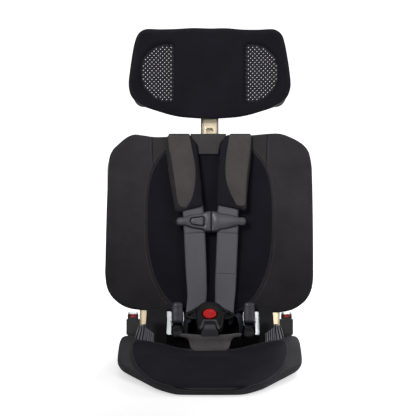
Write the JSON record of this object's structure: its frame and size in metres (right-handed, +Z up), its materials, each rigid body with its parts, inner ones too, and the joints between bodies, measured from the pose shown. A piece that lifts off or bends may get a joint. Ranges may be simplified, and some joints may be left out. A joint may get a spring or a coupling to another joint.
{
  "type": "folding child car seat",
  "caption": "Folding travel child seat with a reclined aluminium frame, suspended mesh fabric, telescoping headrest, five-point harness and a seat pan that folds up.",
  "frame": {"origin": "floor level under the middle of the overall width and depth", "axes": "+X to the right of a viewer facing the seat, -Y towards that viewer, +Z up"},
  "size_m": [0.3756, 0.43, 0.575],
  "materials": {
    "frame_gold": "anodised satin champagne",
    "steel": "satin zinc-plated steel",
    "black_plastic": "fine moulded texture",
    "grey_plastic": "fine moulded texture",
    "red_plastic": "moulded, slightly glossy",
    "rubber": "matt rubber",
    "charcoal_fabric": "plain woven melange",
    "taupe_fabric": "plain woven",
    "dark_mesh": "knitted spacer mesh",
    "webbing": "woven harness webbing"
  },
  "bodies": {
    "back_frame": {"side_frame_left": "frame_gold", "side_frame_right": "frame_gold", "crossbars": "frame_gold", "floor_crossbar": "frame_gold", "harness_anchor_bar": "steel", "crotch_anchor_rod": "steel", "wing_hoop_left": "frame_gold", "wing_hoop_right": "frame_gold", "frame_screws": "black_plastic", "rubber_feet": "rubber", "post_guide": "frame_gold", "guide_collar": "black_plastic", "lock_spring": "steel", "hinge_pins": "steel", "hinge_washers": "black_plastic", "base_panel": "black_plastic", "back_cover": "charcoal_fabric", "back_mesh": "dark_mesh", "yoke_tab": "taupe_fabric", "shoulder_strap_left": "webbing", "shoulder_strap_right": "webbing", "shoulder_pad_left": "taupe_fabric", "shoulder_pad_right": "taupe_fabric", "clip_half_left": "grey_plastic", "buckle_front_shell": "black_plastic", "buckle_rear_shell": "black_plastic", "lap_straps": "webbing", "crotch_strap": "webbing", "crotch_pad": "taupe_fabric", "adjuster_brackets": "steel", "adjuster_pins": "steel", "connector_housings": "black_plastic", "connector_jaws": "steel", "connector_holders": "black_plastic", "anchor_straps": "webbing", "tether_strap": "webbing", "tether_hook": "steel", "release_guides": "black_plastic"},
    "headrest": {"headrest_post": "frame_gold", "headrest_frame": "black_plastic", "headrest_screws": "steel", "headrest_cover": "dark_mesh", "headrest_vents": "dark_mesh"},
    "post_lock": {"lock_button": "black_plastic"},
    "seat_pan": {"seat_frame": "frame_gold", "hinge_bushes": "black_plastic", "seat_cover": "charcoal_fabric", "seat_mesh": "dark_mesh", "seat_gathers": "charcoal_fabric"},
    "release_handle": {"release_bar": "black_plastic"},
    "clip_right": {"clip_half_right": "grey_plastic"},
    "clip_press": {"clip_button": "grey_plastic"},
    "buckle_press": {"buckle_button": "red_plastic"},
    "tongue_l": {"tongue_left": "black_plastic"},
    "tongue_r": {"tongue_right": "black_plastic"},
    "lever_l": {"adjuster_lever_left": "black_plastic"},
    "lever_r": {"adjuster_lever_right": "black_plastic"},
    "anchor_press_l": {"connector_button_left": "red_plastic"},
    "anchor_press_r": {"connector_button_right": "red_plastic"}
  },
  "joints": [
    {"name": "headrest_height", "type": "slide", "parent": "back_frame", "child": "headrest", "axis": [0, 0.2588, 0.9659], "range_m": [-0.02, 0.105]},
    {"name": "post_lock_press", "type": "slide", "parent": "back_frame", "child": "post_lock", "axis": [0, -0.9659, 0.2588], "range_m": [0, 0.0035], "stiffness_N_per_m": 900, "springref_m": -0.001},
    {"name": "seat_fold", "type": "hinge", "parent": "back_frame", "child": "seat_pan", "pos_m": [0, 0.05, 0.05], "axis": [-1, 0, 0], "range_deg": [0, 88]},
    {"name": "release_pull", "type": "slide", "parent": "back_frame", "child": "release_handle", "axis": [0, 0.2588, 0.9659], "range_m": [0, 0.008], "stiffness_N_per_m": 700, "springref_m": -0.002},
    {"name": "clip_release", "type": "slide", "parent": "back_frame", "child": "clip_right", "axis": [1, 0, 0], "range_m": [0, 0.012]},
    {"name": "clip_button_press", "type": "slide", "parent": "back_frame", "child": "clip_press", "axis": [0, 0.9659, -0.2588], "range_m": [0, 0.001], "stiffness_N_per_m": 1500, "springref_m": -0.0006},
    {"name": "buckle_button_press", "type": "slide", "parent": "back_frame", "child": "buckle_press", "axis": [0, 0.7193, -0.6947], "range_m": [0, 0.0035], "stiffness_N_per_m": 1200, "springref_m": -0.001},
    {"name": "tongue_left_release", "type": "slide", "parent": "back_frame", "child": "tongue_l", "axis": [0, 0.6947, 0.7193], "range_m": [0, 0.011]},
    {"name": "tongue_right_release", "type": "slide", "parent": "back_frame", "child": "tongue_r", "axis": [0, 0.6947, 0.7193], "range_m": [0, 0.011]},
    {"name": "adjuster_left_lift", "type": "hinge", "parent": "back_frame", "child": "lever_l", "pos_m": [-0.0575, 0.04538, 0.06366], "axis": [1, 0, 0], "range_deg": [0, 35], "stiffness_Nm_per_rad": 0.3, "springref_deg": -6},
    {"name": "adjuster_right_lift", "type": "hinge", "parent": "back_frame", "child": "lever_r", "pos_m": [0.0705, 0.04538, 0.06366], "axis": [1, 0, 0], "range_deg": [0, 35], "stiffness_Nm_per_rad": 0.3, "springref_deg": -6},
    {"name": "anchor_left_press", "type": "slide", "parent": "back_frame", "child": "anchor_press_l", "axis": [0, -0.2588, -0.9659], "range_m": [0, 0.004], "stiffness_N_per_m": 900, "springref_m": -0.001},
    {"name": "anchor_right_press", "type": "slide", "parent": "back_frame", "child": "anchor_press_r", "axis": [0, -0.2588, -0.9659], "range_m": [0, 0.004], "stiffness_N_per_m": 900, "springref_m": -0.001}
  ]
}
